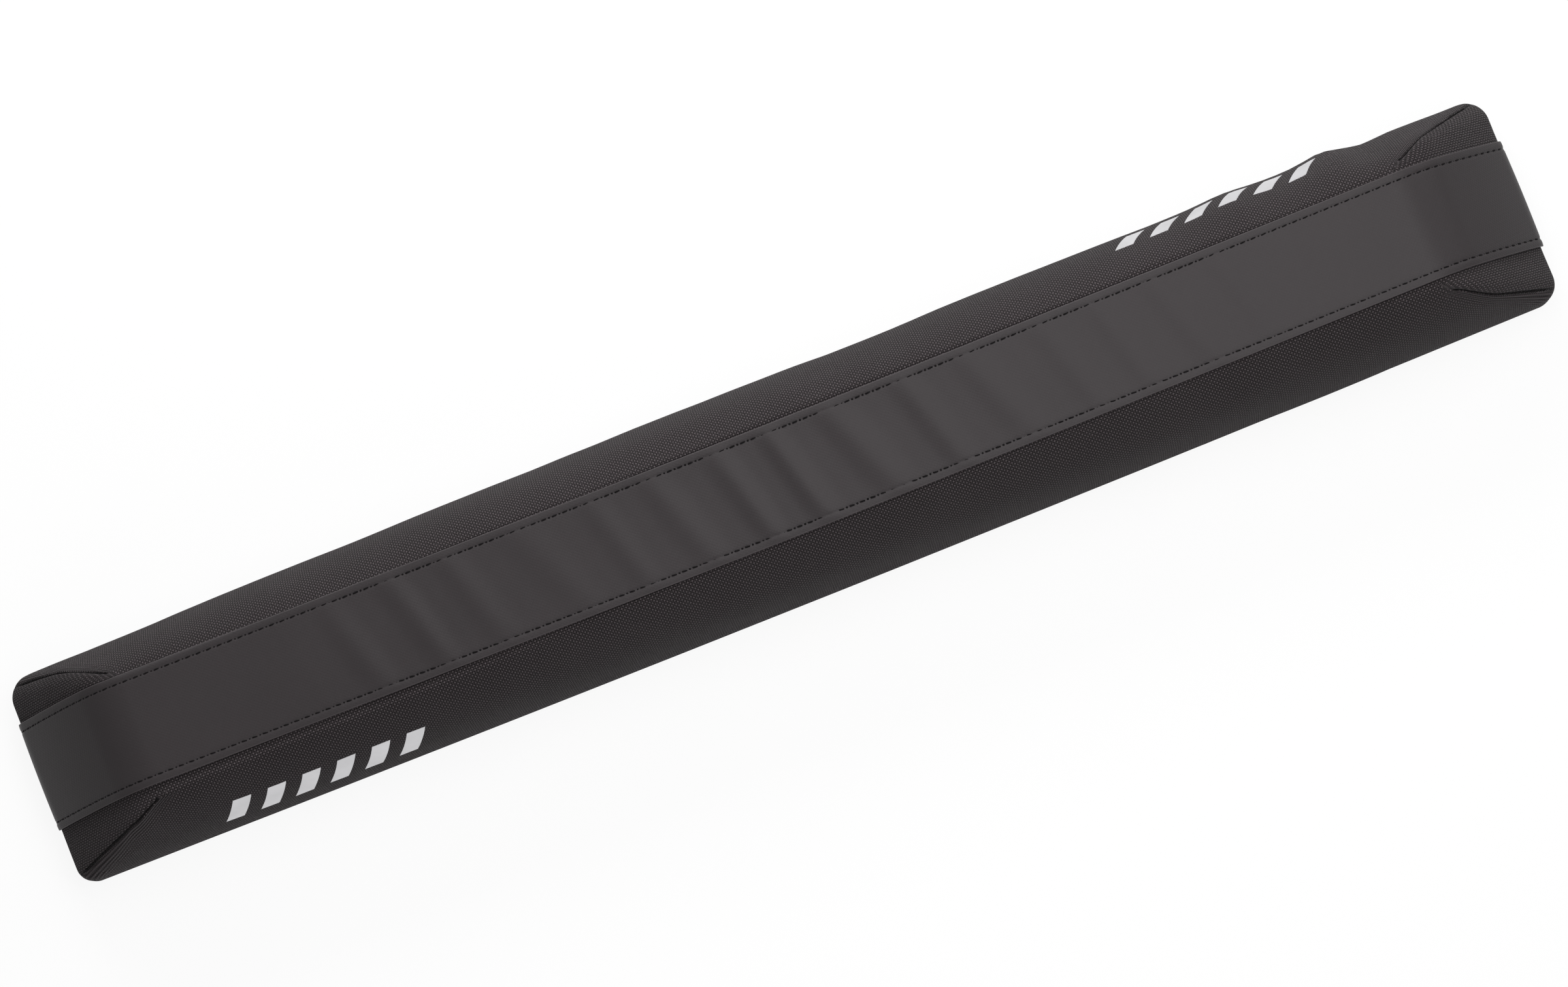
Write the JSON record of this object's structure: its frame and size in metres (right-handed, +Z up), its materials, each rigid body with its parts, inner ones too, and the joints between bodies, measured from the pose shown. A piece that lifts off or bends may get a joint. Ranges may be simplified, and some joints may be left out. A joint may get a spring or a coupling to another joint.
{
  "type": "roof rack pad",
  "caption": "Long hipped foam pad in a woven cover, with a grip strip along its top and a channel and hook-and-loop flaps that close round a wide roof bar.",
  "frame": {"origin": "middle of the underside, on the surface that the closed pad stands on", "axes": "+X along the pad and the bar, +Y across the pad to the far side in the picture, +Z up through the grip strip"},
  "size_m": [0.761, 0.108, 0.0675],
  "materials": {
    "cover_weave": "coarse plain weave of black polyester",
    "core_foam": "closed-cell foam, cut faces",
    "liner_cloth": "fine black lining cloth",
    "grip_strip": "matt rubber-coated cloth with a fine twill emboss",
    "flap_cloth": "coarse plain weave of black polyester, hemmed",
    "loop_pile": "napped loop pile",
    "hook_nylon": "woven tape with stiff nylon hooks",
    "reflective_print": "silver-grey transfer film",
    "sewing_thread": "black bonded thread"
  },
  "bodies": {
    "root": {"cover_shell": "cover_weave", "foam_core": "core_foam", "channel_liner": "liner_cloth", "grip_strip": "grip_strip", "near_flap": "flap_cloth", "far_flap": "flap_cloth", "loop_tape": "loop_pile", "hook_tape": "hook_nylon"}
  },
  "joints": []
}
